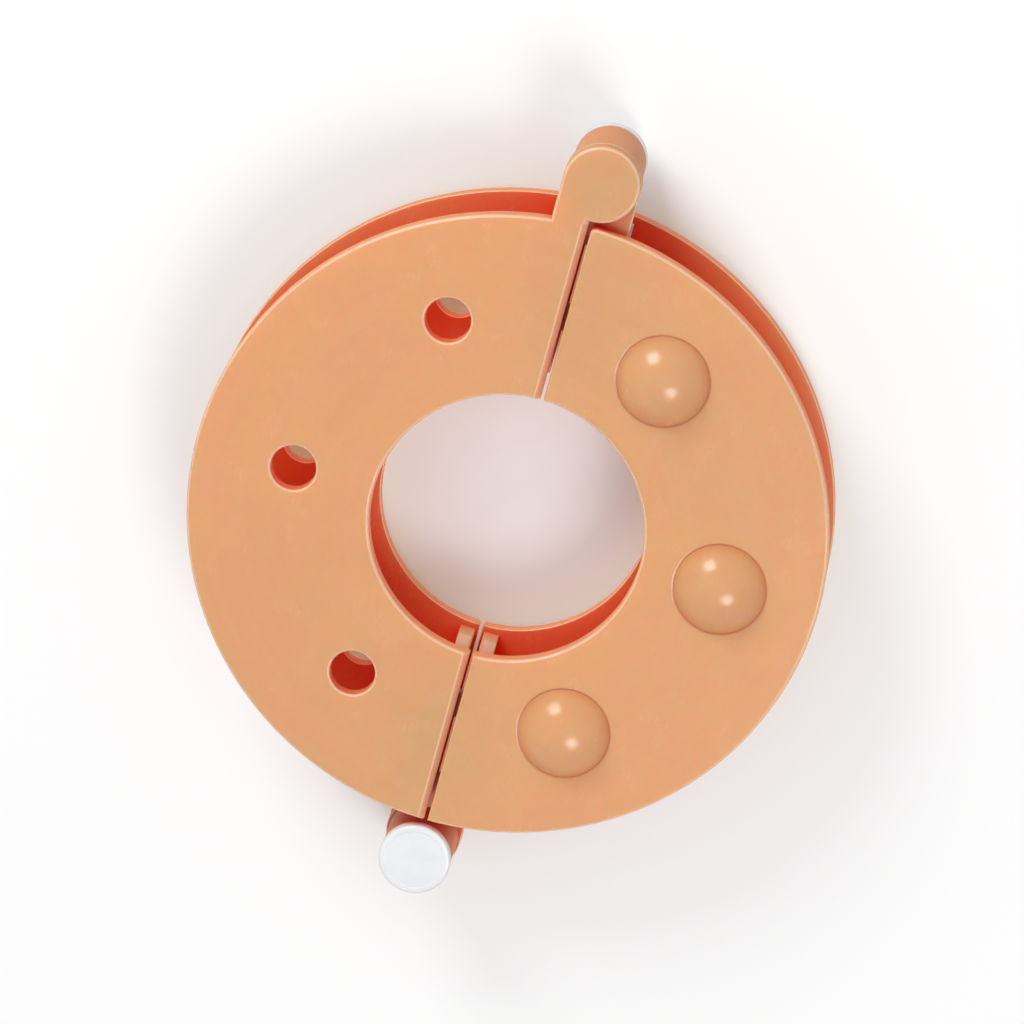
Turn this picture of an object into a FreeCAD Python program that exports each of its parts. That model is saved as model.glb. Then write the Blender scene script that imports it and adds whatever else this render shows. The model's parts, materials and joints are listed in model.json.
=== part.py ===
import FreeCAD, Part
import math
import os

# Pom-pom maker: two identical hinged rings laid face to face, all sizes in millimetres.
# Each ring has two half-round arms. One arm has three holes, the other three hollow domes.
# The arms swing on a hinge just outside the rim, and a white clip rides on the ribs at the
# free end. The upper ring's hinge is at +Y, the lower ring's at -Y, and Z points up through
# the core opening. The origin is the centre of the core opening, midway between the rings.

Vector = FreeCAD.Vector

# ---- ring plates ----
ring_diameter = 70.0
core_diameter = 30.0
plate_thickness = 1.8
split_gap = 0.4          # between the two arms of one ring
edge_round = 0.4         # along the outer face's edges
hinge_corner_round = 0.6  # of the dome arm's plate, where its rim meets the split

# ---- holes and domes ----
spot_pitch_radius = 24.0
spot_count = 3
spot_first_angle = 30.0  # from the hinge direction
hole_diameter = 5.0
hole_edge_round = 0.3
dome_diameter = 10.0
dome_height = 3.0
dimple_diameter = 7.6    # the dome's hollow, at the inner face
dome_wall = 1.2          # at the crown

# ---- ribs along the split, on the inner faces ----
rib_gap = 1.0            # between the ribs of the two arms
rib_thickness = 1.7
rib_height = 3.6
rib_setback = 0.6        # from the rim and from the core opening
rib_end_round = 2.0
end_round_of_length = 0.45  # the most of a short rib's length that one end's round takes
end_round_of_height = 0.8   # and the most of a low rib's height

# ---- hinge ----
tab_diameter = 8.4
tab_rim_gap = 0.6        # between the rim and the tab's round end
tab_root = 5.0           # how far a tab's neck runs in from the rim
inner_tab_thickness = 1.8
barrel_diameter = 7.8
post_diameter = 5.0
post_bore = 2.6
hinge_clearance = 0.05   # radial, between post and barrel
hinge_end_play = 0.15    # at each end of the barrel
plug_head_diameter = 8.0
plug_head_thickness = 1.2
plug_head_round = 0.4
plug_shank_length = 8.0
plug_fit = 0.01          # radial, between the plug's shank and the post's bore

# ---- clip over the ribs at the free end ----
clip_length = 13.0
clip_width = 7.7
clip_top_thickness = 1.35
clip_clearance = 0.15    # round the ribs and over the plate
clip_rim_inset = 0.6
clip_corner_round = 0.5
window_length = 7.0
window_width = 3.9
nose_reach = 0.5         # past the rim
nose_width = 4.0
nose_round = 1.0
foot_width = 0.5         # outward, along the base of each side wall
foot_height = 0.8
groove_depth = 0.55      # in the hole arm's rib, for the clip's lip
groove_height = 1.3
lip_reach = 0.35
catch_rib_height = 1.6   # the dome arm's rib where the clip passes over it
catch_clearance = 0.3

ring_gap = 0.3           # between one ring's clip and the other ring's ribs

# ---- places that follow from the sizes above, in the upper ring's own place ----
ring_radius = ring_diameter / 2
core_radius = core_diameter / 2
tab_radius = tab_diameter / 2
post_radius = post_diameter / 2
pivot_y = ring_radius + tab_rim_gap + tab_radius

clip_height = rib_height + clip_clearance + clip_top_thickness
inner_face = (rib_height + clip_height + ring_gap) / 2
outer_face = inner_face + plate_thickness
rib_edge = inner_face - rib_height
inner_tab_top = inner_face - hinge_end_play
inner_tab_bottom = inner_tab_top - inner_tab_thickness
plug_head_top = -outer_face + plug_head_thickness
barrel_end = plug_head_top + hinge_end_play

rib_near = rib_gap / 2
rib_far = rib_near + rib_thickness
rib_in = core_radius + rib_setback
rib_out = ring_radius - rib_setback
clip_out = ring_radius - clip_rim_inset
clip_in = clip_out - clip_length


def box(x_range, y_range, z_range):
    """Block between two values on each axis, given in either order."""
    low = Vector(min(x_range), min(y_range), min(z_range))
    high = Vector(max(x_range), max(y_range), max(z_range))
    size = high - low
    return Part.makeBox(size.x, size.y, size.z, low)


def rod(radius, z_low, z_high, x=0.0, y=0.0):
    """Upright cylinder."""
    return Part.makeCylinder(radius, z_high - z_low, Vector(x, y, z_low))


def edges_at_height(shape, z):
    """Edges that lie wholly in the level plane at z."""
    tolerance = 1e-6
    return [e for e in shape.Edges
            if abs(e.BoundBox.ZMin - z) < tolerance and abs(e.BoundBox.ZMax - z) < tolerance]


def upright_edges(shape):
    """Straight edges parallel to Z."""
    tolerance = 1e-6
    return [e for e in shape.Edges
            if e.BoundBox.XLength < tolerance and e.BoundBox.YLength < tolerance]


def spots(side):
    """Centres of the three holes (side -1) or domes (side +1)."""
    step = (180.0 - 2 * spot_first_angle) / (spot_count - 1)
    places = []
    for i in range(spot_count):
        angle = math.radians(spot_first_angle + i * step)
        places.append((side * spot_pitch_radius * math.sin(angle),
                       spot_pitch_radius * math.cos(angle)))
    return places


def half_plate(side):
    """Flat half ring on one side of the split."""
    disc = rod(ring_radius, inner_face, outer_face)
    half = box((side * split_gap / 2, side * ring_diameter),
               (-ring_diameter, ring_diameter), (inner_face, outer_face))
    return disc.common(half).cut(rod(core_radius, inner_face, outer_face))


def rib(side, y_start, y_end, height=rib_height):
    """Bar along the split, its free edge rounded at both ends."""
    edge = inner_face - height
    bar = box((side * rib_near, side * rib_far), (y_start, y_end), (edge, inner_face))
    ends = [e for e in edges_at_height(bar, edge) if e.BoundBox.YLength < 1e-6]
    end_round = min(rib_end_round, end_round_of_length * abs(y_end - y_start),
                    end_round_of_height * height)
    return bar.makeFillet(end_round, ends)


def tab(side, z_low, z_high):
    """Keyhole-shaped hinge tab: a neck beside the split and a round end on the pivot."""
    neck = box((side * split_gap / 2, side * tab_radius),
               (ring_radius - tab_root, pivot_y), (z_low, z_high))
    return neck.fuse(rod(tab_radius, z_low, z_high, y=pivot_y))


def hole_arm():
    """Arm with the holes, the outer hinge tab and the post that the other arm turns on."""
    plate = half_plate(-1).fuse(tab(-1, inner_face, outer_face)).removeSplitter()
    plate = plate.makeFillet(edge_round, edges_at_height(plate, outer_face))
    for x, y in spots(-1):
        hole = rod(hole_diameter / 2, inner_face, outer_face, x, y)
        plate = plate.cut(hole)
        rim = [e for e in edges_at_height(plate, outer_face)
               if abs(e.BoundBox.Center.x - x) < 1e-3 and abs(e.BoundBox.Center.y - y) < 1e-3]
        plate = plate.makeFillet(hole_edge_round, rim)
    post = rod(post_radius, plug_head_top, inner_face, y=pivot_y)
    post = post.cut(rod(post_bore / 2, plug_head_top, inner_face, y=pivot_y))
    free_rib = rib(-1, -rib_in, -rib_out)
    groove = box((-rib_far, -rib_far + groove_depth), (-rib_in, -rib_out),
                 (inner_face - groove_height, inner_face))
    arm = plate.fuse([rib(-1, rib_in, rib_out), free_rib.cut(groove), post])
    return arm.removeSplitter()


def dome(x, y):
    """Outside of one dome: a cap of a sphere standing on the outer face."""
    base = dome_diameter / 2
    radius = (base ** 2 + dome_height ** 2) / (2 * dome_height)
    ball = Part.makeSphere(radius, Vector(x, y, outer_face + dome_height - radius))
    above = box((x - base, x + base), (y - base, y + base),
                (outer_face - edge_round, outer_face + dome_height))
    return ball.common(above)


def dimple(x, y):
    """Hollow inside one dome, open at the inner face."""
    base = dimple_diameter / 2
    depth = plate_thickness + dome_height - dome_wall
    radius = (base ** 2 + depth ** 2) / (2 * depth)
    ball = Part.makeSphere(radius, Vector(x, y, inner_face + depth - radius))
    below = box((x - base, x + base), (y - base, y + base), (inner_face, inner_face + depth))
    return ball.common(below)


def dome_arm():
    """Arm with the domes, the inner hinge tab and the barrel round the other arm's post."""
    plate = half_plate(1)
    corner = [e for e in upright_edges(plate) if e.BoundBox.Center.y > rib_out]
    plate = plate.makeFillet(hinge_corner_round, corner)
    plate = plate.makeFillet(edge_round, edges_at_height(plate, outer_face))
    plate = plate.fuse([dome(x, y) for x, y in spots(1)])
    plate = plate.cut([dimple(x, y) for x, y in spots(1)])
    root = box((split_gap / 2, tab_radius), (ring_radius - tab_root, ring_radius),
               (inner_tab_bottom, inner_face)).common(rod(rib_out, inner_tab_bottom, inner_face))
    barrel = rod(barrel_diameter / 2, barrel_end, inner_tab_top, y=pivot_y)
    full_rib_end = clip_in - catch_clearance
    arm = plate.fuse([
        root,
        tab(1, inner_tab_bottom, inner_tab_top),
        barrel,
        rib(1, rib_in, rib_out),
        rib(1, -rib_in, -full_rib_end),
        rib(1, -full_rib_end + rib_end_round, -rib_out, catch_rib_height),
    ])
    bore = rod(post_radius + hinge_clearance, barrel_end, inner_tab_top, y=pivot_y)
    return arm.cut(bore).removeSplitter()


def pivot_plug():
    """White plug pressed into the post, whose head keeps the barrel on."""
    head = rod(plug_head_diameter / 2, -outer_face, plug_head_top, y=pivot_y)
    head = head.makeFillet(plug_head_round, edges_at_height(head, -outer_face))
    shank = rod(post_bore / 2 - plug_fit, plug_head_top, plug_head_top + plug_shank_length,
                y=pivot_y)
    return head.fuse(shank).removeSplitter()


def clip_wall(side, z_base):
    """Side wall of the clip with its small outward foot."""
    inner = side * (rib_far + clip_clearance)
    outer = side * clip_width / 2
    top = rib_edge - clip_clearance
    wall = box((inner, outer), (-clip_in, -clip_out), (top, z_base))
    foot = box((outer, outer + side * foot_width), (-clip_in, -clip_out),
               (z_base - foot_height, z_base))
    return wall.fuse(foot)


def arm_clip():
    """Clip that slides on the rib pair; its nose reaches past the rim."""
    top = rib_edge - clip_clearance
    crown = box((-clip_width / 2, clip_width / 2), (-clip_in, -clip_out),
                (top, top - clip_top_thickness))
    crown = crown.makeFillet(clip_corner_round, upright_edges(crown))
    middle = -(clip_in + clip_out) / 2
    window = box((-window_width / 2, window_width / 2),
                 (middle - window_length / 2, middle + window_length / 2),
                 (top, top - clip_top_thickness))
    nose = box((-nose_width / 2, nose_width / 2), (-clip_out + nose_round, -ring_radius - nose_reach),
               (top, top - clip_top_thickness))
    nose = nose.makeFillet(nose_round, [e for e in upright_edges(nose)
                                        if e.BoundBox.Center.y < -ring_radius])
    hole_side = clip_wall(-1, inner_face - clip_clearance)
    dome_side = clip_wall(1, inner_face - catch_rib_height - catch_clearance)
    lip = box((-rib_far - clip_clearance, -rib_far + lip_reach), (-clip_in, -clip_out),
              (inner_face - groove_height + clip_clearance, inner_face - clip_clearance))
    clip = crown.cut(window).fuse([nose, hole_side, dome_side, lip])
    return clip.removeSplitter()


def turned_over(shape):
    """The same piece in the lower ring: half a turn about X."""
    copy = shape.copy()
    copy.rotate(Vector(0, 0, 0), Vector(1, 0, 0), 180)
    return copy


pieces = {
    "hole_arm": hole_arm(),
    "dome_arm": dome_arm(),
    "pivot_plug": pivot_plug(),
    "arm_clip": arm_clip(),
}

os.makedirs("parts", exist_ok=True)
for name, shape in pieces.items():
    shape.exportStep("parts/upper_" + name + ".step")
    turned_over(shape).exportStep("parts/lower_" + name + ".step")
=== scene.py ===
import json
import math

import bmesh
import bpy
from mathutils import Matrix, Vector


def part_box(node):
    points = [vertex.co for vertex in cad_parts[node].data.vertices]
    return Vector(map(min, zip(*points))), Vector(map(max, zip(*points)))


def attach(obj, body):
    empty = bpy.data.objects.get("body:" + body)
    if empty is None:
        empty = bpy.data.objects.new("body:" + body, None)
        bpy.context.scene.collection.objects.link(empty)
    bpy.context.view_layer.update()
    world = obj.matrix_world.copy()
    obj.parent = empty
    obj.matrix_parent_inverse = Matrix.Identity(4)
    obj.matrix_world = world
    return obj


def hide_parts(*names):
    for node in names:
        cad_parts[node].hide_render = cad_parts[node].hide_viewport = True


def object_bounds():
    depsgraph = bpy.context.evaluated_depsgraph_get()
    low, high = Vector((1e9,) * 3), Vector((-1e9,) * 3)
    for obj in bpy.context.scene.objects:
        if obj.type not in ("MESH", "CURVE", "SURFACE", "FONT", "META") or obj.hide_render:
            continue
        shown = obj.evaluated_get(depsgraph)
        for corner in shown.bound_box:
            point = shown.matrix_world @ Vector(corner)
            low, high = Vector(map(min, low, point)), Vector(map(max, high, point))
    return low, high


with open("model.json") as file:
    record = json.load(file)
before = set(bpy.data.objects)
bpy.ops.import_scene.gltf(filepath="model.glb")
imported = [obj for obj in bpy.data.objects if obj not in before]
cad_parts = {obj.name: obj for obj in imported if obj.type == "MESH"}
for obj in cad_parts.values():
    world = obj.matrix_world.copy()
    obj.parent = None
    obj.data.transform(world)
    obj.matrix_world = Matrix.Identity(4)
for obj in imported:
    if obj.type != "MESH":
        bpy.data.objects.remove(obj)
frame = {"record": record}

# A pom-pom maker: two hinged split rings of peach plastic laid face to face, with white hinge
# plugs and white sliding clips. Every moulding is modelled in millimetres as it lies in the
# upper ring and made metres at the end. The lower ring is the same ring turned over.

scene = bpy.context.scene
cad_low, cad_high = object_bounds()
MM = 0.001

# ---------------------------------------- sizes, in millimetres


def box_mm(node):
    """Lowest and highest corner of a node of the frame."""
    low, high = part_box(node)
    return low / MM, high / MM


dome_arm_low, dome_arm_high = box_mm("upper_dome_arm")
plug_low, plug_high = box_mm("upper_pivot_plug")
clip_low, clip_high = box_mm("upper_arm_clip")

# ring plates
ring_radius = 35.0
core_radius = 15.0
plate_thickness = 1.8
split_half = 0.2             # half the gap between the two arms of a ring
edge_round = 0.4             # round the outer face
inner_edge_round = 0.15      # round the inner face
hole_arm_chamfer = (0.65, 0.6)   # width and depth of the hole arm's edge along the split
dome_arm_chamfer = (0.08, 0.4)   # the dome arm's edge there stays sharp
hinge_corner_round = 0.6
outer_face = box_mm("upper_hole_arm")[1].z
inner_face = outer_face - plate_thickness

# holes, domes and the marks that the ejector pins leave
spot_pitch_radius = 24.0
spot_count = 3
spot_first_angle = 30.0
spot_spacing = (180 - 2 * spot_first_angle) / (spot_count - 1)
hole_radius = 2.5
hole_edge_round = 0.3
dome_radius = 5.0
dome_height = dome_arm_high.z - outer_face
dimple_radius = 3.8
dimple_edge_round = 0.25
dome_wall = 1.2
crease_width = 0.30          # of the groove round the foot of a dome
crease_depth = 0.10
pin_mark_radius = 1.25
pin_mark_depth = 0.12
pin_mark_count = 4
pin_mark_pitch_radius = 30.5
pin_mark_first_angle = 15.0
pin_mark_steps = 40
size_mark = "70"             # the ring's diameter, raised on the inner face
size_mark_height = 2.0
size_mark_radius = 31.4
size_mark_relief = 0.12
size_mark_boldness = 0.02

# ribs
rib_near = 0.5
rib_far = 2.2
rib_height = 3.6
rib_setback = 0.6
rib_end_round = 2.0
rib_edge_round = 0.15
catch_rib_height = 1.6
catch_rib_end_round = 1.28
catch_clearance = 0.3
groove_depth = 0.55
groove_height = 1.3
rib_edge = inner_face - rib_height
rib_in = core_radius + rib_setback
rib_out = ring_radius - rib_setback

# hinge
tab_radius = 4.2
tab_root = 5.0
inner_tab_thickness = 1.8
barrel_radius = 3.9
barrel_edge_round = 0.25
bore_radius = 2.55
post_radius = 2.5
post_bore_radius = 1.3
hinge_end_play = 0.15
pivot_y = (plug_low.y + plug_high.y) / 2
barrel_end = dome_arm_low.z
inner_tab_top = inner_face - hinge_end_play
inner_tab_bottom = inner_tab_top - inner_tab_thickness
plug_head_radius = (plug_high.x - plug_low.x) / 2
plug_head_bottom = plug_low.z
plug_head_top = barrel_end - hinge_end_play
plug_head_round = 0.4
plug_shank_radius = 1.29
plug_dish_radius = 3.35
plug_dish_depth = 0.06
plug_dish_round = 0.08
plug_inner_round = 0.1

# clip
clip_clearance = 0.15
clip_edge_round = 0.18
clip_corner_round = 0.5
clip_half_width = 3.85
clip_bar_recess = 0.2        # the cross bars lie this much below the side rails
window_half_length = 3.5
window_half_width = 1.95
nose_half_width = 2.0
nose_round = 1.0
foot_height = 0.8
lip_reach = 0.35
lip_edge_round = 0.1
clip_out = -rib_out
clip_in = clip_high.y
clip_wall = rib_far + clip_clearance
crown_top = rib_edge - clip_clearance
crown_bottom = clip_low.z
clip_foot = clip_high.x

buried = 0.6                 # how far an added shell runs into the one that carries it
flush_step = 0.03            # a wall that is flush with another stands back this much
overshoot = 1.0              # how far a cutting tool stands out of the face that it cuts
merge_distance = 1e-4        # points nearer than this are one
straight_limit = 1e-4        # sine of the turn under which two edges are in line
split_tolerance = 1e-3       # how near the split an edge along it lies
flare_turn = 80.0            # degrees that a hole's rounded mouth turns through
round_steps = 5              # faces across a rounded edge
cap_steps = 16               # faces from a dome's foot to its top
turned_steps = 72            # faces round a turned shell
fine_turned_steps = 96
longest_chord = 0.8
widest_step = 6.0            # degrees between two points of an arc

# ---------------------------------------- outlines and shells


def arc(centre, radius, start, end):
    """Points of an arc from start to end degrees, both ends included."""
    degrees = abs(end - start)
    by_chord = math.radians(degrees) * radius / longest_chord
    steps = max(2, math.ceil(max(by_chord, degrees / widest_step)))
    points = []
    for i in range(steps + 1):
        angle = math.radians(start + (end - start) * i / steps)
        points.append(Vector((centre[0] + radius * math.cos(angle),
                              centre[1] + radius * math.sin(angle))))
    return points


def rounded(corners):
    """Outline through corners (x, y, radius), each corner drawn as an arc of its radius."""
    points = []
    for i, (x, y, radius) in enumerate(corners):
        here = Vector((x, y))
        if radius == 0:
            points.append(here)
            continue
        before = (Vector(corners[i - 1][:2]) - here).normalized()
        after = (Vector(corners[(i + 1) % len(corners)][:2]) - here).normalized()
        half = before.angle(after) / 2
        centre = here + (before + after).normalized() * radius / math.sin(half)
        first = here + before * radius / math.tan(half) - centre
        last = here + after * radius / math.tan(half) - centre
        start = math.degrees(math.atan2(first.y, first.x))
        turn = math.degrees(math.atan2(first.cross(last), first.dot(last)))
        points += arc(centre, radius, start, start + turn)
    return points


def without_repeats(points):
    """The same closed outline with points that coincide taken out."""
    return [p for i, p in enumerate(points) if (p - points[i - 1]).length > merge_distance]


def inset(points, reach_of):
    """Closed outline moved into the material on its left, each edge by its own reach."""
    count = len(points)
    sides = []
    for i, point in enumerate(points):
        ahead = points[(i + 1) % count]
        along = (ahead - point).normalized()
        sides.append((Vector((-along.y, along.x)), reach_of(point, ahead)))
    moved = []
    for i, point in enumerate(points):
        (left, reach), (next_left, next_reach) = sides[i - 1], sides[i]
        skew = left.cross(next_left)
        if abs(skew) < straight_limit:
            moved.append(point + left * (reach + next_reach) / 2)
            continue
        moved.append(point + Vector((reach * next_left.y - next_reach * left.y,
                                     next_reach * left.x - reach * next_left.x)) / skew)
    return moved


AXIS_ORDER = {"Z": (0, 1, 2), "X": (2, 0, 1), "Y": (1, 2, 0)}


def on_split(a, b):
    """Whether an edge runs along the split."""
    return max(abs(abs(a.x) - split_half), abs(b.x - a.x)) < split_tolerance


def round_levels(low, high, round_low, round_high, chamfer_depth):
    """Height and inset of each level of a slab, from its lower face to its upper one."""
    levels = []
    for i in range(round_steps + 1):
        angle = math.pi / 2 * i / round_steps
        levels.append((low + round_low * (1 - math.cos(angle)), round_low * (1 - math.sin(angle))))
    if chamfer_depth > round_high:
        levels.append((high - chamfer_depth, 0.0))
    for i in range(round_steps + 1):
        angle = math.pi / 2 * i / round_steps
        levels.append((high - round_high * (1 - math.sin(angle)),
                       round_high * (1 - math.cos(angle))))
    return levels


def slab(outlines, low, high, round_low, round_high, axis="Z", split_chamfer=(0, 0)):
    """Closed shell between two heights on an axis, its edges rounded. The first outline runs
    anticlockwise, outlines of openings run clockwise. A split chamfer is the width and depth of
    the flat that takes the upper round's place along the split."""
    chamfer_width, chamfer_depth = split_chamfer
    levels = round_levels(low, high, round_low, round_high, chamfer_depth)
    bm = bmesh.new()
    order = AXIS_ORDER[axis]
    foot_edges, crown_edges = [], []
    for outline in outlines:
        outline = without_repeats(outline)
        rows = []
        for height, distance in levels:
            def reach_of(a, b):
                if chamfer_width > 0 and high - height < chamfer_depth and on_split(a, b):
                    return chamfer_width * (1 - (high - height) / chamfer_depth)
                return distance

            row = []
            for point in inset(outline, reach_of):
                place = (point.x, point.y, height)
                row.append(bm.verts.new([place[k] for k in order]))
            rows.append(row)
        count = len(outline)
        for lower, upper in zip(rows, rows[1:]):
            for i in range(count):
                k = (i + 1) % count
                bm.faces.new((lower[i], lower[k], upper[k], upper[i]))
        foot_edges += [bm.edges.get((rows[0][i - 1], rows[0][i])) for i in range(count)]
        crown_edges += [bm.edges.get((rows[-1][i - 1], rows[-1][i])) for i in range(count)]
    for edges in (foot_edges, crown_edges):
        if len(outlines) == 1:
            bmesh.ops.contextual_create(bm, geom=edges)
        else:
            bmesh.ops.triangle_fill(bm, edges=edges, use_beauty=True)
    bmesh.ops.recalc_face_normals(bm, faces=bm.faces)
    return bm


def lathe(profile, y=0.0, steps=turned_steps):
    """Closed shell turned about an upright axis. The profile's (radius, height) points start
    and end on the axis, or close on themselves where the shell is a ring."""
    bm = bmesh.new()
    ring = profile[0][0] > 0
    rows = []
    for radius, height in profile:
        if radius == 0:
            rows.append([bm.verts.new((0, y, height))] * steps)
            continue
        rows.append([bm.verts.new((radius * math.cos(2 * math.pi * i / steps),
                                   y + radius * math.sin(2 * math.pi * i / steps), height))
                     for i in range(steps)])
    pairs = list(zip(rows, rows[1:]))
    if ring:
        pairs.append((rows[-1], rows[0]))
    for lower, upper in pairs:
        for i in range(steps):
            k = (i + 1) % steps
            corners = []
            for vertex in (lower[i], lower[k], upper[k], upper[i]):
                if vertex not in corners:
                    corners.append(vertex)
            bm.faces.new(corners)
    bmesh.ops.recalc_face_normals(bm, faces=bm.faces)
    return bm


def in_scene(name, data):
    """New object in the scene."""
    obj = bpy.data.objects.new(name, data)
    scene.collection.objects.link(obj)
    return obj


def shell_object(name, bm):
    """Working object, still in millimetres."""
    mesh = bpy.data.meshes.new(name)
    bm.to_mesh(mesh)
    bm.free()
    return in_scene(name, mesh)


def combine(obj, bm, operation="UNION"):
    """Joins one more closed shell to the working object, or cuts it out."""
    tool = shell_object(obj.name + "_tool", bm)
    modifier = obj.modifiers.new("combine", "BOOLEAN")
    modifier.operation = operation
    modifier.solver = "EXACT"
    modifier.object = tool
    settle(obj)
    bpy.data.objects.remove(tool)


def settle(obj):
    """Turns an object's modifiers into its plain mesh."""
    graph = bpy.context.evaluated_depsgraph_get()
    mesh = bpy.data.meshes.new_from_object(obj.evaluated_get(graph), depsgraph=graph)
    obj.modifiers.clear()
    obj.data = mesh


# ---------------------------------------- node helpers


def put(value, socket):
    """Links a socket into an input, or sets the input to a plain value."""
    if isinstance(value, bpy.types.NodeSocket):
        socket.id_data.links.new(value, socket)
    else:
        socket.default_value = value


def feed(node, values):
    """Feeds a node's inputs by their names."""
    for label, value in values.items():
        put(value, node.inputs[label.replace("_", " ")])


def add_node(tree, kind, **values):
    node = tree.nodes.new(kind)
    feed(node, values)
    return node


def maths(operation, *values):
    """Math node fed by sockets or plain values, in the tree of the first socket."""
    tree = next(value.id_data for value in values if isinstance(value, bpy.types.NodeSocket))
    node = tree.nodes.new("ShaderNodeMath")
    node.operation = operation
    for value, socket in zip(values, node.inputs):
        put(value, socket)
    return node.outputs[0]


def plus(a, b):
    return maths("ADD", a, b)


def minus(a, b):
    return maths("SUBTRACT", a, b)


def times(a, b):
    return maths("MULTIPLY", a, b)


def divided(a, b):
    return maths("DIVIDE", a, b)


def magnitude(a):
    return maths("ABSOLUTE", a)


def hypotenuse(a, b):
    return maths("SQRT", plus(times(a, a), times(b, b)))


def split_vector(vector):
    return add_node(vector.id_data, "ShaderNodeSeparateXYZ", Vector=vector).outputs


def vector_of(x, y, z=0.0):
    return add_node(x.id_data, "ShaderNodeCombineXYZ", X=x, Y=y, Z=z).outputs[0]


def between(value, low, high, new_low=0.0, new_high=1.0):
    """A value's range mapped smoothly to another and held at its ends."""
    node = add_node(value.id_data, "ShaderNodeMapRange", Value=value, From_Min=low,
                    From_Max=high, To_Min=new_low, To_Max=new_high)
    node.interpolation_type = "SMOOTHSTEP"
    return node.outputs[0]


def fade(value, low, high):
    """One up to the low value, falling smoothly to nought at the high one."""
    return between(value, low, high, 1.0, 0.0)


# ---------------------------------------- rows of spots


def spot_row_tree(name, operation):
    """Geometry nodes that repeat a tool along a half circle and join it with the plate or cut
    it out. The angle is measured from the hinge direction, +Y."""
    tree = bpy.data.node_groups.new(name, "GeometryNodeTree")
    for label, kind in (("Plate", "Geometry"), ("Tool", "Object"), ("Count", "Int"),
                        ("Pitch Radius", "Float"), ("First Angle", "Float"), ("Side", "Float"),
                        ("Plastic", "Material")):
        tree.interface.new_socket(label, in_out="INPUT", socket_type="NodeSocket" + kind)
    tree.interface.new_socket("Plate", in_out="OUTPUT", socket_type="NodeSocketGeometry")
    given = tree.nodes.new("NodeGroupInput").outputs
    index = tree.nodes.new("GeometryNodeInputIndex").outputs[0]
    first = maths("RADIANS", given["First Angle"])
    sweep = minus(math.pi, times(first, 2.0))
    step = divided(sweep, minus(given["Count"], 1.0))
    angle = plus(first, times(index, step))
    reach = times(given["Pitch Radius"], given["Side"])
    place = vector_of(times(reach, maths("SINE", angle)),
                      times(given["Pitch Radius"], maths("COSINE", angle)))
    line = add_node(tree, "GeometryNodeMeshLine", Count=given["Count"], Offset=(0, 0, 0))
    spread = add_node(tree, "GeometryNodeSetPosition", Geometry=line.outputs[0], Position=place)
    tool = add_node(tree, "GeometryNodeObjectInfo", Object=given["Tool"])
    repeat = add_node(tree, "GeometryNodeInstanceOnPoints", Points=spread.outputs[0],
                      Instance=tool.outputs["Geometry"])
    real = add_node(tree, "GeometryNodeRealizeInstances", Geometry=repeat.outputs[0])
    combined = tree.nodes.new("GeometryNodeMeshBoolean")
    combined.operation = operation
    combined.solver = "EXACT"
    plate_socket = combined.inputs["Mesh 1" if operation == "DIFFERENCE" else "Mesh 2"]
    tree.links.new(given["Plate"], plate_socket)
    tree.links.new(real.outputs[0], combined.inputs["Mesh 2"])
    finish = add_node(tree, "GeometryNodeSetMaterial", Geometry=combined.outputs[0],
                      Material=given["Plastic"])
    tree.links.new(finish.outputs[0], tree.nodes.new("NodeGroupOutput").inputs[0])
    return tree


def spot_row(obj, tree, tool_bm, side, places):
    """Repeats one tool along an arm and settles the result. Its places are a count, a pitch
    radius and a first angle."""
    tool = shell_object(obj.name + "_spot", tool_bm)
    count, pitch_radius, first_angle = places
    values = {"Tool": tool, "Count": count, "Pitch Radius": pitch_radius,
              "First Angle": first_angle, "Side": float(side), "Plastic": arm_plastic}
    modifier = obj.modifiers.new("spots", "NODES")
    modifier.node_group = tree
    for item in tree.interface.items_tree:
        if item.in_out == "INPUT" and item.name in values:
            modifier[item.identifier] = values[item.name]
    settle(obj)
    bpy.data.objects.remove(tool)


def flare(radius, face, outward, width):
    """Profile of a hole's wall where it opens with a rounded edge at a face."""
    last = math.radians(flare_turn)
    points = []
    for i in range(round_steps + 1):
        angle = last * i / round_steps
        points.append((radius + width * (1 - math.cos(angle)),
                       face - outward * width * (1 - math.sin(angle))))
    across, along = points[-1]
    across += overshoot * math.sin(last)
    end = face + outward * overshoot
    return points + [(across, along + outward * overshoot * math.cos(last)), (across, end),
                     (0, end)]


def hole_tool():
    below = flare(hole_radius, inner_face, -1, inner_edge_round)
    above = flare(hole_radius, outer_face, 1, hole_edge_round)
    return lathe(below[::-1] + above)


def cap_points(radius, centre, low):
    """Profile of a ball from the height low up to its top."""
    start = math.asin((low - centre) / radius)
    points = []
    for i in range(cap_steps):
        angle = start + (math.pi / 2 - start) * i / cap_steps
        points.append((radius * math.cos(angle), centre + radius * math.sin(angle)))
    return points + [(0, centre + radius)]


def ball_radius(radius, height):
    """Radius of the ball that a cap of this radius and height is cut from."""
    return (radius ** 2 + height ** 2) / (2 * height)


def dome_tool():
    ball = ball_radius(dome_radius, dome_height)
    low = outer_face - buried
    return lathe([(0, low)] + cap_points(ball, outer_face + dome_height - ball, low))


def dimple_tool():
    depth = plate_thickness + dome_height - dome_wall
    ball = ball_radius(dimple_radius, depth)
    mouth = flare(dimple_radius, inner_face, -1, dimple_edge_round)
    return lathe(mouth[::-1] + cap_points(ball, inner_face + depth - ball,
                                          inner_face + 2 * dimple_edge_round))


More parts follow.
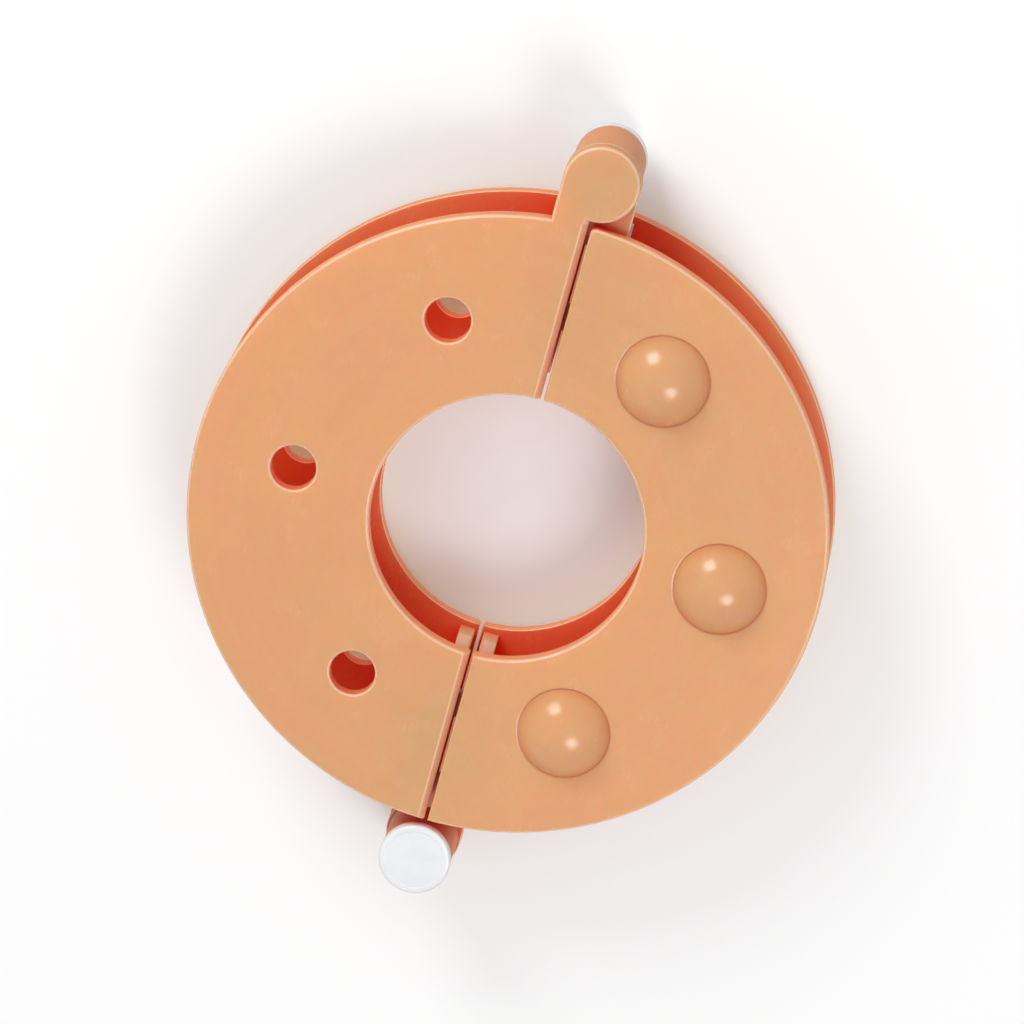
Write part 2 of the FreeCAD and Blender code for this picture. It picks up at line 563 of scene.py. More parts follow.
def crease_tool():
    """Ring with a V section that grooves the plate round the foot of a dome."""
    ball = ball_radius(dome_radius, dome_height)
    sunk = ball - dome_height - crease_depth
    valley = math.sqrt(ball ** 2 - sunk ** 2)
    above = crease_depth / 2
    lip = valley + crease_width * (1 + above / crease_depth)
    return lathe([(dome_radius - crease_width, outer_face + above),
                  (valley, outer_face - crease_depth), (lip, outer_face + above)],
                 steps=fine_turned_steps)


def pin_mark_tool():
    low, top = inner_face - overshoot, inner_face + pin_mark_depth
    return lathe([(0, low), (pin_mark_radius, low), (pin_mark_radius, top), (0, top)],
                 steps=pin_mark_steps)


# ---------------------------------------- mouldings of one ring


def split_angle(radius):
    """Degrees that half the split takes of a circle."""
    return math.degrees(math.asin(split_half / radius))


def hole_arm_outline():
    """Half ring on the -X side with the keyhole-shaped hinge tab."""
    neck_foot = math.degrees(math.atan2(math.sqrt(ring_radius ** 2 - tab_radius ** 2), -tab_radius))
    rim = arc((0, 0), ring_radius, neck_foot, 270 - split_angle(ring_radius))
    core = arc((0, 0), core_radius, 270 - split_angle(core_radius), 90 + split_angle(core_radius))
    tab = arc((0, pivot_y), tab_radius, -90 - split_angle(tab_radius), 180)
    return rim + core + tab


def dome_arm_outline():
    """Half ring on the +X side, its corner at the hinge rounded."""
    middle_x = split_half + hinge_corner_round
    middle_y = math.sqrt((ring_radius - hinge_corner_round) ** 2 - middle_x ** 2)
    corner_start = math.degrees(math.atan2(middle_y, middle_x))
    rim = arc((0, 0), ring_radius, -90 + split_angle(ring_radius), corner_start)
    corner = arc((middle_x, middle_y), hinge_corner_round, corner_start, 180)
    core = arc((0, 0), core_radius, 90 - split_angle(core_radius), -90 + split_angle(core_radius))
    return rim + corner + core


def rib(side, y_low, y_high, edge, end_round, top=inner_face + buried, near=rib_near, far=rib_far):
    """Upright bar beside the split, the corners of its free edge rounded."""
    outline = rounded([(y_low, edge, end_round), (y_high, edge, end_round),
                       (y_high, top, 0), (y_low, top, 0)])
    walls = sorted((side * near, side * far))
    return slab([outline], *walls, rib_edge_round, rib_edge_round, axis="X")


def plate(name, outline, split_chamfer):
    """Half ring between the inner and the outer face."""
    return shell_object(name, slab([outline], inner_face, outer_face, inner_edge_round,
                                   edge_round, split_chamfer=split_chamfer))


def hole_arm():
    """Peach arm with the holes, the grooved rib and the hinge's hollow post."""
    obj = plate("hole_arm", hole_arm_outline(), hole_arm_chamfer)
    spot_row(obj, cut_row, hole_tool(), -1, spot_places)
    spot_row(obj, cut_row, pin_mark_tool(), -1, pin_mark_places)
    combine(obj, rib(-1, rib_in, rib_out, rib_edge, rib_end_round))
    groove_low = inner_face - groove_height
    combine(obj, rib(-1, -rib_out, -rib_in, rib_edge, rib_end_round, top=groove_low))
    combine(obj, rib(-1, -rib_out, -rib_in, groove_low - buried, 0, far=rib_far - groove_depth))
    combine(obj, lathe([(post_bore_radius, plug_head_top), (post_radius, plug_head_top),
                        (post_radius, inner_face + buried),
                        (post_bore_radius, inner_face + buried)], pivot_y))
    return obj


def size_number():
    """Raised figures that read along the rim from the inner side."""
    text = bpy.data.curves.new("size_number", "FONT")
    text.body = size_mark
    text.size = size_mark_height
    text.align_x = text.align_y = "CENTER"
    text.extrude = size_mark_relief
    text.offset = size_mark_boldness
    source = in_scene("size_number", text)
    settled = bpy.data.meshes.new_from_object(source.evaluated_get(
        bpy.context.evaluated_depsgraph_get()))
    bpy.data.objects.remove(source)
    bm = bmesh.new()
    bm.from_mesh(settled)
    bmesh.ops.remove_doubles(bm, verts=bm.verts, dist=merge_distance)
    upright = Matrix.Rotation(math.pi, 4, "X") @ Matrix.Rotation(math.pi / 2, 4, "Z")
    place = Matrix.Translation((size_mark_radius, 0, inner_face)) @ upright
    bmesh.ops.transform(bm, matrix=place, verts=bm.verts)
    bmesh.ops.recalc_face_normals(bm, faces=bm.faces)
    return bm


def dome_arm():
    """Peach arm with the domes, the inner hinge tab and its barrel, and a rib that runs low
    under the clip."""
    obj = plate("dome_arm", dome_arm_outline(), dome_arm_chamfer)
    for row, tool, places in ((cut_row, crease_tool(), spot_places),
                              (add_row, dome_tool(), spot_places),
                              (cut_row, dimple_tool(), spot_places),
                              (cut_row, pin_mark_tool(), pin_mark_places)):
        spot_row(obj, row, tool, 1, places)
    keyhole = [Vector((split_half, ring_radius - tab_root)),
               Vector((tab_radius, ring_radius - tab_root))]
    keyhole += arc((0, pivot_y), tab_radius, 0, 270 + split_angle(tab_radius))
    near, far = split_half + flush_step, tab_radius - flush_step
    root = ring_radius - tab_root + flush_step
    step = [Vector(corner) for corner in ((near, root), (far, root),
                                          (far, rib_out - rib_setback), (near, rib_out))]
    combine(obj, slab([step], inner_tab_bottom + buried, inner_face + buried, 0, 0))
    combine(obj, slab([keyhole], inner_tab_bottom, inner_tab_top, inner_edge_round,
                      inner_edge_round))
    combine(obj, lathe([(0, barrel_end), (barrel_radius - barrel_edge_round, barrel_end),
                        (barrel_radius, barrel_end + barrel_edge_round),
                        (barrel_radius, inner_tab_bottom + buried),
                        (0, inner_tab_bottom + buried)], pivot_y, fine_turned_steps))
    combine(obj, rib(1, rib_in, rib_out, rib_edge, rib_end_round))
    full_end = clip_in + catch_clearance
    combine(obj, rib(1, full_end, -rib_in, rib_edge, rib_end_round))
    combine(obj, rib(1, -rib_out, full_end + rib_end_round, inner_face - catch_rib_height,
                     catch_rib_end_round, near=rib_near + flush_step, far=rib_far - flush_step))
    combine(obj, size_number())
    bore_low = barrel_end - overshoot
    bore_high = inner_tab_top + hinge_end_play / 2
    combine(obj, lathe([(0, bore_low), (bore_radius, bore_low), (bore_radius, bore_high),
                        (0, bore_high)], pivot_y), "DIFFERENCE")
    return obj


def pivot_plug():
    """White plug: a head with a rounded edge and a slightly dished face, and its shank."""
    dish = plug_head_bottom + plug_dish_depth
    edge = rounded([(plug_dish_radius - 2 * plug_dish_depth, dish, plug_dish_round),
                    (plug_dish_radius, plug_head_bottom, plug_dish_round),
                    (plug_head_radius, plug_head_bottom, plug_head_round),
                    (plug_head_radius, plug_head_top, plug_inner_round), (0, plug_head_top, 0),
                    (0, dish, 0)])[:-2]
    profile = [(0, dish)] + [tuple(p) for p in edge]
    profile += [(plug_shank_radius, plug_head_top), (plug_shank_radius, plug_high.z),
                (0, plug_high.z)]
    return shell_object("pivot_plug", lathe(profile, pivot_y, fine_turned_steps))


def clip_side(side, foot_top):
    """One side of the clip: rail, wall and foot as one section drawn along the ribs."""
    section = ((foot_top, clip_wall), (foot_top, clip_foot),
               (foot_top - foot_height, clip_foot), (foot_top - foot_height, clip_half_width),
               (crown_bottom, clip_half_width), (crown_bottom, window_half_width),
               (crown_top, window_half_width), (crown_top, clip_wall))
    outline = [Vector((z, side * x)) for z, x in section]
    if side < 0:
        outline.reverse()
    return slab([outline], clip_out, clip_in, clip_edge_round, clip_edge_round, axis="Y")


def arm_clip():
    """White clip: cross bars and nose round a window, with a side on each rib."""
    half = [(nose_half_width, clip_low.y, nose_round), (nose_half_width, clip_out, 0),
            (clip_half_width, clip_out, clip_corner_round),
            (clip_half_width, clip_in, clip_corner_round)]
    crown = rounded([(-x, y, radius) for x, y, radius in reversed(half)] + half)
    middle = (clip_in + clip_out) / 2
    window = [Vector((across * window_half_width, middle + along * window_half_length))
              for across, along in ((-1, -1), (-1, 1), (1, 1), (1, -1))]
    obj = shell_object("arm_clip", slab([crown, window], crown_bottom + clip_bar_recess,
                                        crown_top, clip_edge_round, clip_edge_round))
    combine(obj, clip_side(-1, inner_face - clip_clearance))
    combine(obj, clip_side(1, inner_face - catch_rib_height - catch_clearance))
    lip_low, lip_high = inner_face - groove_height + clip_clearance, inner_face - clip_clearance
    lip = [Vector(corner) for corner in ((clip_out, lip_low), (clip_in, lip_low),
                                         (clip_in, lip_high), (clip_out, lip_high))]
    combine(obj, slab([lip], -clip_wall - buried, -rib_far + lip_reach, 0, lip_edge_round, "X"))
    return obj


# ---------------------------------------- shader groups


def noise(vector, scale, detail=2.0, roughness=0.5):
    """Noise texture's value over a vector."""
    return add_node(vector.id_data, "ShaderNodeTexNoise", Vector=vector, Scale=scale,
                    Detail=detail, Roughness=roughness).outputs[0]


def moulded_skin(vector, grain_size):
    """Fine spark-eroded skin of a moulding: a height and a speckle for roughness."""
    scale = divided(1.0, grain_size)
    fine = noise(vector, scale, 3.0, 0.6)
    coarse = noise(vector, times(scale, 0.06), 1.0)
    return {"Height": plus(fine, times(coarse, 1.6)), "Speckle": between(fine, 0.35, 0.7)}


def melt_flow(vector, streak_width, cloud_size):
    """Streaks that the melt leaves as it runs round a ring, and soft clouds across them."""
    x, y, z = split_vector(vector)
    radius = divided(hypotenuse(x, y), streak_width)
    angle = maths("ARCTAN2", y, magnitude(x))
    polar = vector_of(radius, times(angle, 1.7), times(z, 0.3))
    streaks = noise(polar, 1.0, 4.0, 0.6)
    clouds = noise(vector, divided(1.0, cloud_size), 3.0, 0.55)
    return {"Streaks": between(streaks, 0.3, 0.7), "Clouds": between(clouds, 0.32, 0.68)}


def edge_wear(vector, normal, limit_height, patch_size):
    """Where a surface slants between upright and level, as a rounded edge does, where the
    plastics paint a highlight; the patchy copy is broken up as handling breaks it up, and
    gives wear and a patchy painted highlight. Above the limit height there are domes, which
    are no edges."""
    steep = magnitude(split_vector(normal)[2])
    height = magnitude(split_vector(vector)[2])
    over = minus(height, limit_height)
    edge = times(between(steep, 0.25, 0.50), fade(steep, 0.94, 0.985))
    edge = times(edge, fade(over, -0.02, 0.0))
    patches = noise(vector, divided(1.0, patch_size), 4.0, 0.65)
    return {"Edge": edge, "Worn": times(edge, between(patches, 0.42, 0.62))}


def handling_marks(vector, density):
    """Hairline scratches in two directions and fine dust."""
    lines = []
    for turn, stretch in ((0.5, 6.5), (-0.9, 4.75)):
        place = add_node(vector.id_data, "ShaderNodeMapping", Vector=vector,
                         Rotation=(0.2, 0.1, turn), Scale=(stretch, 0.25, 0.25))
        off = magnitude(minus(noise(place.outputs[0], 1.0), 0.5))
        lines.append(fade(off, 0.0, 0.012))
    patches = between(noise(vector, 0.35), 0.52, 0.66)
    kept = times(patches, density)
    specks = add_node(vector.id_data, "ShaderNodeTexVoronoi", Vector=vector, Scale=0.9)
    dots = fade(specks.outputs["Distance"], 0.03, 0.06)
    return {"Scratches": times(maths("MAXIMUM", *lines), kept),
            "Dust": times(dots, density)}


def parting_line(vector, normal, middle, half_width):
    """Witness line of the mould along an upright wall at a given height."""
    height = magnitude(split_vector(vector)[2])
    off = magnitude(minus(height, middle))
    share = divided(off, half_width)
    upright = fade(magnitude(split_vector(normal)[2]), 0.05, 0.25)
    return {"Line": times(fade(share, 0.4, 1.0), upright)}


def chamfer_line(vector, line_place, line_end, face_height, half_width):
    """The painted highlight line where the hole arm's face breaks into the chamfer along the
    split, and the chamfer's own flat."""
    x, y, z = split_vector(vector)
    off = magnitude(plus(x, line_place))
    share = divided(off, half_width)
    below = minus(face_height, magnitude(z))
    past = minus(magnitude(y), line_end)
    within = fade(past, 0.0, 0.3)
    line = times(fade(share, 0.6, 1.0), fade(below, 0.08, 0.12))
    inner = minus(magnitude(x), line_place)
    return {"Line": times(line, within), "Flat": times(fade(inner, -0.12, -0.08), within)}


def dome_row(vector, pitch_radius, spacing, foot_radius, dimple_radius, face_height, half_width):
    """The row of domes on the +X side: the crease round each foot, which the peach plastic
    paints with shade, and the curved skin of the domes and of the dimples under them."""
    x, y, z = split_vector(vector)
    spacing = maths("RADIANS", spacing)
    turn = maths("FLOORED_MODULO", maths("ARCTAN2", x, y), spacing)
    turn = minus(turn, times(spacing, 0.5))
    reach = hypotenuse(x, y)
    short = minus(times(reach, maths("COSINE", turn)), pitch_radius)
    distance = hypotenuse(short, times(reach, maths("SINE", turn)))
    side = between(x, 0.0, 1.0)
    below = minus(face_height, magnitude(z))
    outside = times(fade(below, 0.3, 0.4), side)
    past_foot = minus(distance, foot_radius)
    share = divided(magnitude(past_foot), half_width)
    dome = times(fade(past_foot, 0.4, 0.5), outside)
    past_dimple = minus(distance, dimple_radius)
    dimple = times(fade(past_dimple, -0.1, 0.0), side)
    return {"Foot": times(fade(share, 0.4, 1.0), outside),
            "Skin": maths("MAXIMUM", dome, dimple)}


def drawn_wall(normal, draw_limit):
    """Walls that the mould draws along, which come out duller than the level faces. The peach
    plastic also paints them a deeper orange as painted shade.
    """
    level = magnitude(split_vector(normal)[2])
    return {"Wall": fade(divided(level, draw_limit), 0.2, 1.0)}


def shader_group(name, lay_out, *labels):
    """Shader group with named inputs, laid out by a function that takes them in this order and
    gives the outputs by their names."""
    tree = bpy.data.node_groups.new(name, "ShaderNodeTree")
    for label in labels:
        kind = "Vector" if label in ("Vector", "Normal") else "Float"
        tree.interface.new_socket(label, in_out="INPUT", socket_type="NodeSocket" + kind)
    given = tree.nodes.new("NodeGroupInput").outputs
    results = lay_out(*(given[label] for label in labels))
    for label in results:
        tree.interface.new_socket(label, in_out="OUTPUT", socket_type="NodeSocketFloat")
    feed(tree.nodes.new("NodeGroupOutput"), results)
    return tree


skin_group = shader_group("moulded_skin", moulded_skin, "Vector", "Grain Size")
flow_group = shader_group("melt_flow", melt_flow, "Vector", "Streak Width", "Cloud Size")
edge_group = shader_group("edge_wear", edge_wear, "Vector", "Normal", "Limit Height", "Patch Size")
marks_group = shader_group("handling_marks", handling_marks, "Vector", "Density")
parting_group = shader_group("parting_line", parting_line, "Vector", "Normal", "Middle",
                             "Half Width")
chamfer_group = shader_group("chamfer_line", chamfer_line, "Vector", "Line Place", "Line End",
                             "Face Height", "Half Width")
dome_group = shader_group("dome_row", dome_row, "Vector", "Pitch Radius", "Spacing",
                          "Foot Radius", "Dimple Radius", "Face Height", "Half Width")
wall_group = shader_group("drawn_wall", drawn_wall, "Normal", "Draw Limit")

# ---------------------------------------- plastics

peach = (0.705, 0.375, 0.172, 1.0)
peach_cloud = (0.725, 0.395, 0.172, 1.0)
peach_streak = (0.74, 0.40, 0.20, 1.0)
# painted shade of upright walls: a deeper orange
peach_wall_shade = (0.97, 0.22, 0.075, 1.0)
# painted shade where walls stand near: a dark red
peach_painted_shade = (0.76, 0.045, 0.012, 1.0)
# painted highlight along the rounded edges and the chamfer's line
peach_edge_highlight = (1.0, 0.54, 0.39, 1.0)
# painted shade in the crease round each dome's foot
peach_crease_shade = (0.52, 0.22, 0.09, 1.0)
peach_scratch = (0.93, 0.62, 0.44, 1.0)
peach_dust = (0.95, 0.85, 0.78, 1.0)
peach_scatter = (1.0, 0.20, 0.06)
white = (0.80, 0.805, 0.82, 1.0)
white_cloud = (0.84, 0.845, 0.855, 1.0)
# painted highlight on the white plastic's edges, in patches
white_edge_highlight = (0.92, 0.92, 0.92, 1.0)
# painted shade of the white plastic in slits: a warm red
white_painted_shade = (0.85, 0.16, 0.06, 1.0)
white_scratch = (0.70, 0.70, 0.71, 1.0)
white_dust = (0.60, 0.55, 0.50, 1.0)
white_scatter = (1.0, 0.85, 0.75)
shelter_depth = 25.0         # how far off a wall still paints shade, a deeper red, into the peach colour
shelter_range = (0.15, 0.85)  # openness at which a place is quite sheltered and quite open
slit_depth = 6.0             # how far off a wall still paints a warm red shade on the white plastic in a slit
slit_range = (0.10, 0.50)    # the same in a slit
openness_samples = 6
peach_roughness = 0.20
white_roughness = 0.18
peach_grain_depth = 0.0022   # of the moulded skin
white_grain_depth = 0.003
peach_scatter_depth = 5.0
white_scatter_depth = 0.8
plastic_ior = 1.5


def placed(tree, group, **values):
    """Outputs of a shader group used in a material with its own values."""
    node = tree.nodes.new("ShaderNodeGroup")
    node.node_tree = group
    feed(node, values)
    return node.outputs


def colour_mix(factor, a, b):
    """Colour between a and b; each is a socket or a plain colour."""
    node = factor.id_data.nodes.new("ShaderNodeMix")
    node.data_type = "RGBA"
    ends = [socket for socket in node.inputs if socket.type == "RGBA"]
    for value, socket in zip((factor, a, b), [node.inputs["Factor"]] + ends):
        put(value, socket)
    return [socket for socket in node.outputs if socket.type == "RGBA"][0]


def layered(colour, layers):
    """A colour with tints laid over it, each by a mask and a share."""
    for mask, share, tint in layers:
        colour = colour_mix(times(mask, share), colour, tint)
    return colour


def summed(value, parts):
    """A value with masks added to it, each by a share."""
    for mask, share in parts:
        value = plus(value, times(mask, share))
    return value


def openness(tree, reach, samples):
    """How open a place is to walls that stand within a reach in millimetres, nought to one."""
    node = add_node(tree, "ShaderNodeAmbientOcclusion", Distance=reach * MM)
    node.samples = samples
    return node.outputs["AO"]


def plastic_material(name):
    """Material with its shader, and object coordinates in millimetres and normals."""
    material = bpy.data.materials.new(name)
    material.use_nodes = True
    tree = material.node_tree
    coordinates = tree.nodes.new("ShaderNodeTexCoord").outputs
    millimetres = add_node(tree, "ShaderNodeMapping", Vector=coordinates["Object"],
                           Scale=(1 / MM, 1 / MM, 1 / MM))
    return (material, tree, tree.nodes["Principled BSDF"], millimetres.outputs[0],
            coordinates["Normal"])


def bump(height, depth):
    """Normals of a height in the moulded skin, its depth in millimetres."""
    return add_node(height.id_data, "ShaderNodeBump", Height=height, Distance=depth * MM,
                    Strength=1.0).outputs[0]


def peach_plastic():
    """Satin peach plastic that lets warm light through."""
    material, tree, shader, vector, normal = plastic_material("peach_satin_plastic")
    skin = placed(tree, skin_group, Vector=vector, Grain_Size=0.16)
    flow = placed(tree, flow_group, Vector=vector, Streak_Width=1.4, Cloud_Size=10.0)
    edge = placed(tree, edge_group, Vector=vector, Normal=normal, Patch_Size=2.5,
                  Limit_Height=outer_face)
    marks = placed(tree, marks_group, Vector=vector, Density=0.5)
    parting = placed(tree, parting_group, Vector=vector, Normal=normal,
                     Middle=(inner_face + outer_face) / 2, Half_Width=0.06)
    chamfer = placed(tree, chamfer_group, Vector=vector, Face_Height=outer_face,
                     Line_Place=split_half + hole_arm_chamfer[0], Line_End=ring_radius,
                     Half_Width=0.13)
    domes = placed(tree, dome_group, Vector=vector, Pitch_Radius=spot_pitch_radius,
                   Foot_Radius=dome_radius + crease_width / 3, Dimple_Radius=dimple_radius,
                   Face_Height=outer_face, Spacing=spot_spacing, Half_Width=0.14)
    # Painted shade: the wall mask also paints upright walls a deeper orange in the colour below.
    wall = placed(tree, wall_group, Normal=normal, Draw_Limit=0.35)["Wall"]
    flats = maths("MAXIMUM", times(chamfer["Flat"], 0.6), domes["Skin"])
    # Painted highlight: rounded edges, less the chamfer's flat and the domes' skin, and the
    # chamfer's line are painted a pale peach.
    rim_highlights = times(edge["Edge"], minus(1.0, flats))
    lines = maths("MAXIMUM", rim_highlights, chamfer["Line"])
    # Painted shade: where walls stand near, the peach is painted a dark red.
    sheltered = fade(openness(tree, shelter_depth, openness_samples), *shelter_range)
    # The layers below paint shade on walls, in sheltered places and in the domes' creases, and a
    # highlight on edges.
    colour = layered(colour_mix(flow["Clouds"], peach, peach_cloud), (
        (flow["Streaks"], 0.35, peach_streak), (wall, 0.7, peach_wall_shade),
        (sheltered, 1.0, peach_painted_shade), (lines, 0.85, peach_edge_highlight),
        (domes["Foot"], 0.5, peach_crease_shade), (marks["Scratches"], 0.22, peach_scratch),
        (marks["Dust"], 0.25, peach_dust)))
    rough = summed(peach_roughness, (
        (skin["Speckle"], 0.03), (flow["Clouds"], 0.02), (marks["Scratches"], 0.18),
        (edge["Worn"], 0.05), (wall, 0.55)))
    level = minus(1.0, times(wall, 0.8))
    height = summed(times(skin["Height"], level), (
        (parting["Line"], 6.0), (marks["Scratches"], -1.2)))
    feed(shader, {
        "Base Color": colour, "Roughness": rough, "Normal": bump(height, peach_grain_depth),
        "IOR": plastic_ior, "Subsurface Weight": 1.0, "Subsurface Radius": peach_scatter,
        "Subsurface Scale": peach_scatter_depth * MM})
    return material


def white_plastic():
    """Glossy white plastic, faintly bluish."""
    material, tree, shader, vector, normal = plastic_material("white_gloss_plastic")
    skin = placed(tree, skin_group, Vector=vector, Grain_Size=0.3)
    flow = placed(tree, flow_group, Vector=vector, Streak_Width=0.9, Cloud_Size=4.0)
    edge = placed(tree, edge_group, Vector=vector, Normal=normal, Patch_Size=1.6,
                  Limit_Height=outer_face)
    marks = placed(tree, marks_group, Vector=vector, Density=0.8)
    # Painted shade: in slits the white plastic is painted a warm red.
    sheltered = fade(openness(tree, slit_depth, openness_samples), *slit_range)
    # Painted highlight: the white plastic's edges are painted paler, in patches.
    colour = layered(colour_mix(flow["Clouds"], white, white_cloud), (
        (edge["Worn"], 0.5, white_edge_highlight), (sheltered, 1.0, white_painted_shade),
        (marks["Scratches"], 0.3, white_scratch), (marks["Dust"], 0.35, white_dust)))
    rough = summed(white_roughness, ((skin["Speckle"], 0.04), (marks["Scratches"], 0.2)))
    height = summed(times(skin["Height"], 0.6), ((marks["Scratches"], -1.0),))
    feed(shader, {
        "Base Color": colour, "Roughness": rough, "Normal": bump(height, white_grain_depth),
        "IOR": plastic_ior, "Subsurface Weight": 0.25, "Subsurface Radius": white_scatter,
        "Subsurface Scale": white_scatter_depth * MM})
    return material


plastics = {"peach_plastic": peach_plastic(), "white_plastic": white_plastic()}

# ---------------------------------------- the pieces, both rings

cut_row = spot_row_tree("cut_row_of_spots", "DIFFERENCE")
add_row = spot_row_tree("add_row_of_spots", "UNION")
arm_plastic = plastics["peach_plastic"]
spot_places = (spot_count, spot_pitch_radius, spot_first_angle)
pin_mark_places = (pin_mark_count, pin_mark_pitch_radius, pin_mark_first_angle)
smooth_angle = math.radians(24)


def finished_mesh(obj, plastic):
    """The working object's mesh in metres, smooth on its rounds and crisp at its corners."""
    bm = bmesh.new()
    bm.from_mesh(obj.data)
    bmesh.ops.remove_doubles(bm, verts=bm.verts, dist=merge_distance)
    bmesh.ops.dissolve_degenerate(bm, edges=bm.edges, dist=merge_distance)
    bm.to_mesh(obj.data)
    bm.free()
    obj.data.shade_smooth()
    obj.data.set_sharp_from_angle(angle=smooth_angle)
    normals = obj.modifiers.new("level_faces", "WEIGHTED_NORMAL")
    normals.keep_sharp = True
    settle(obj)
    mesh = obj.data
    mesh.transform(Matrix.Scale(MM, 4))
    mesh.materials.clear()
    mesh.materials.append(plastic)
    bpy.data.objects.remove(obj)
    return mesh


body_of_node = {node: body for body, nodes in frame["record"]["behaviour"]["bodies"].items()
                for node in nodes}
slot_of_node = {part["node"]: part["material_slot"] for part in frame["record"]["subparts"]}
makers = {"hole_arm": hole_arm, "dome_arm": dome_arm, "pivot_plug": pivot_plug,
          "arm_clip": arm_clip}
turned_over = Matrix.Rotation(math.pi, 4, "X")

for kind, make in makers.items():
    plastic = plastics[slot_of_node["upper_" + kind]]
    upper_mesh = finished_mesh(make(), plastic)
    lower_mesh = upper_mesh.copy()
    lower_mesh.transform(turned_over)
    for ring, mesh in (("upper", upper_mesh), ("lower", lower_mesh)):
        node = ring + "_" + kind
        piece = in_scene(node + "_moulding", mesh)
        mesh.name = piece.name
        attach(piece, body_of_node[node])
        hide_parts(node)

# ---------------------------------------- camera

lean_to_hinge = 17.8         # degrees from the rings' axis
lean_to_domes = 1.3
hinge_roll = 15.5            # the hinge points this far to the right of straight up
frame_pixels = 1024
pixels_per_mm = 9.16
camera_distance = 0.70
sensor = 36.0

back = Vector((math.tan(math.radians(lean_to_domes)), math.tan(math.radians(lean_to_hinge)),
               1)).normalized()
hinge_way = Vector((0, 1, 0))
hinge_seen = (hinge_way - back * hinge_way.dot(back)).normalized()
roll = math.radians(hinge_roll)
up = hinge_seen * math.cos(roll) - hinge_seen.cross(back) * math.sin(roll)
right = up.cross(back)
look_at = (cad_low + cad_high) / 2

camera = in_scene("camera", bpy.data.cameras.new("camera"))
camera.data.sensor_width = sensor
camera.data.lens = sensor * camera_distance / (frame_pixels / pixels_per_mm * MM)
camera.data.clip_start = 0.01
camera.matrix_world = Matrix.Translation(look_at + back * camera_distance) @ Matrix(
    (right, up, back)).transposed().to_4x4()
scene.camera = camera

# ---------------------------------------- floor, lamps and world

floor_reach = 3.0            # metres
floor_grey = (0.55, 0.55, 0.55, 1.0)
floor_white = (0.96, 0.96, 0.96, 1.0)
floor_lift = 0.40
floor_roughness = 0.9
floor_gloss = 0.1
floor_plain_from = 0.08      # metres from the middle, where the lift begins to grow
floor_plain_to = 0.45        # and from where on the floor is plain white
floor_shelter = 40.0         # how far off the part still withholds the floor's lift, which paints a deeper shadow under it, in millimetres
floor_openness_samples = 4
horizon_light = 0.28
overhead_light = 0.62
underside_light = 0.80
underside_height = -0.7      # of a direction from which the light from below is whole


def straight_look(tree):
    """One for looks and mirrored or refracted looks, nought for rays that carry light."""
    path = tree.nodes.new("ShaderNodeLightPath").outputs
    straight = maths("MAXIMUM", path["Is Camera Ray"], path["Is Glossy Ray"])
    return maths("MAXIMUM", straight, path["Is Transmission Ray"])


def shader_mix(factor, a, b):
    """Shader between those of two nodes."""
    node = factor.id_data.nodes.new("ShaderNodeMixShader")
    for value, socket in zip((factor, a.outputs[0], b.outputs[0]), node.inputs):
        put(value, socket)
    return node


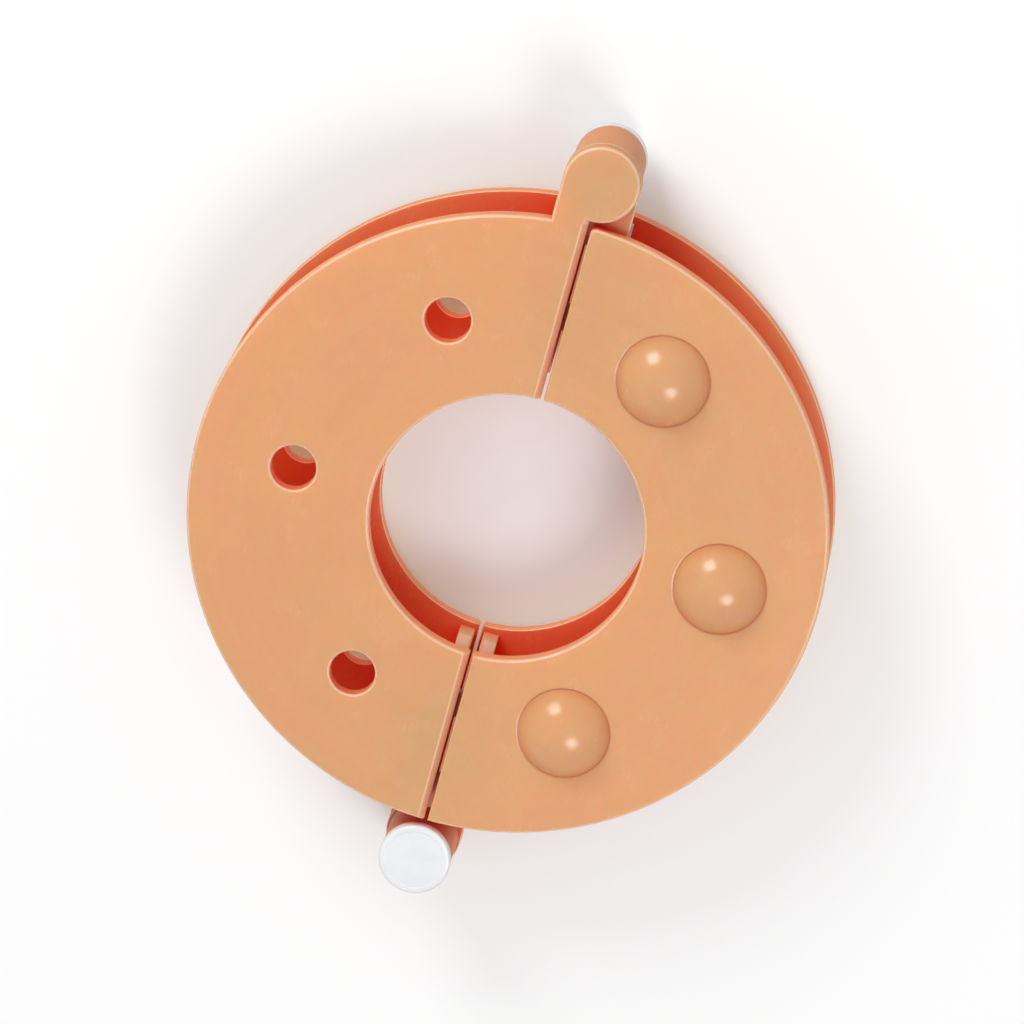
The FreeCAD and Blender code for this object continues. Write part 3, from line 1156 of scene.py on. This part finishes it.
def floor_material():
    """Matt floor, white to a straight look and greyer to the light it throws back, and clear
    from below so that the underside can be seen. Its white lift is smaller near the part and is
    withheld where the part shelters the floor, which paints a deeper shadow under it."""
    material = bpy.data.materials.new("pale_floor")
    material.use_nodes = True
    tree = material.node_tree
    shader = tree.nodes["Principled BSDF"]
    straight = straight_look(tree)
    feed(shader, {"Base Color": colour_mix(straight, floor_grey, floor_white),
                        "Roughness": floor_roughness, "Specular IOR Level": floor_gloss})
    away = tree.nodes.new("ShaderNodeVectorMath")
    away.operation = "LENGTH"
    put(tree.nodes.new("ShaderNodeTexCoord").outputs["Object"], away.inputs[0])
    most = between(away.outputs["Value"], floor_plain_from, floor_plain_to, floor_lift, 1.0)
    # Painted shadow: the lift is withheld where the part shelters the floor, so the shadow under it
    # is deeper.
    open_floor = openness(tree, floor_shelter, floor_openness_samples)
    lift = times(most, between(open_floor, *shelter_range))
    lifted = shader_mix(times(straight, lift), shader,
                        add_node(tree, "ShaderNodeEmission", Strength=1.0))
    below = tree.nodes.new("ShaderNodeNewGeometry").outputs["Backfacing"]
    one_sided = shader_mix(below, lifted, tree.nodes.new("ShaderNodeBsdfTransparent"))
    tree.links.new(one_sided.outputs[0], tree.nodes["Material Output"].inputs["Surface"])
    return material


def floor():
    """Level plane that the lower ring's domes stand on. It lets the light from below through,
    so that it shelters nothing."""
    corners = [(across * floor_reach, along * floor_reach, cad_low.z)
               for across, along in ((-1, -1), (1, -1), (1, 1), (-1, 1))]
    mesh = bpy.data.meshes.new("floor")
    mesh.from_pydata(corners, [], [(0, 1, 2, 3)])
    mesh.materials.append(floor_material())
    obj = in_scene("floor", mesh)
    obj.visible_shadow = False
    obj.visible_diffuse = False


def softbox(name, sideways, upward, forward, distance, size, power):
    """Square lamp in a direction of the picture, aimed at the part."""
    lamp = bpy.data.lights.new(name, "AREA")
    lamp.shape = "SQUARE"
    lamp.size = size
    lamp.energy = power
    direction = (right * sideways + up * upward + back * forward).normalized()
    obj = in_scene(name, lamp)
    obj.location = look_at + direction * distance
    obj.rotation_mode = "QUATERNION"
    obj.rotation_quaternion = direction.to_track_quat("Z", "Y")


def studio_world():
    """Soft light, strongest from overhead and weakest at the horizon; straight looks see white."""
    world = bpy.data.worlds.new("studio")
    scene.world = world
    world.use_nodes = True
    tree = world.node_tree
    coordinates = tree.nodes.new("ShaderNodeTexCoord")
    height = split_vector(coordinates.outputs["Generated"])[2]
    above = between(height, 0.0, 1.0, horizon_light, overhead_light)
    below = between(height, underside_height, 0.0, underside_light - horizon_light, 0.0)
    light = tree.nodes["Background"]
    feed(light, {"Color": (1, 1, 1, 1), "Strength": plus(above, below)})
    backdrop = add_node(tree, "ShaderNodeBackground", Color=(1, 1, 1, 1))
    mix = shader_mix(straight_look(tree), light, backdrop)
    tree.links.new(mix.outputs[0], tree.nodes["World Output"].inputs["Surface"])


floor()
softbox("key_softbox", sideways=-0.40, upward=0.59, forward=0.70, distance=0.6, size=0.24,
        power=1.80)
softbox("fill_softbox", sideways=0.23, upward=-0.63, forward=0.74, distance=0.7, size=0.25,
        power=1.6)
studio_world()
scene.view_settings.view_transform = "Standard"
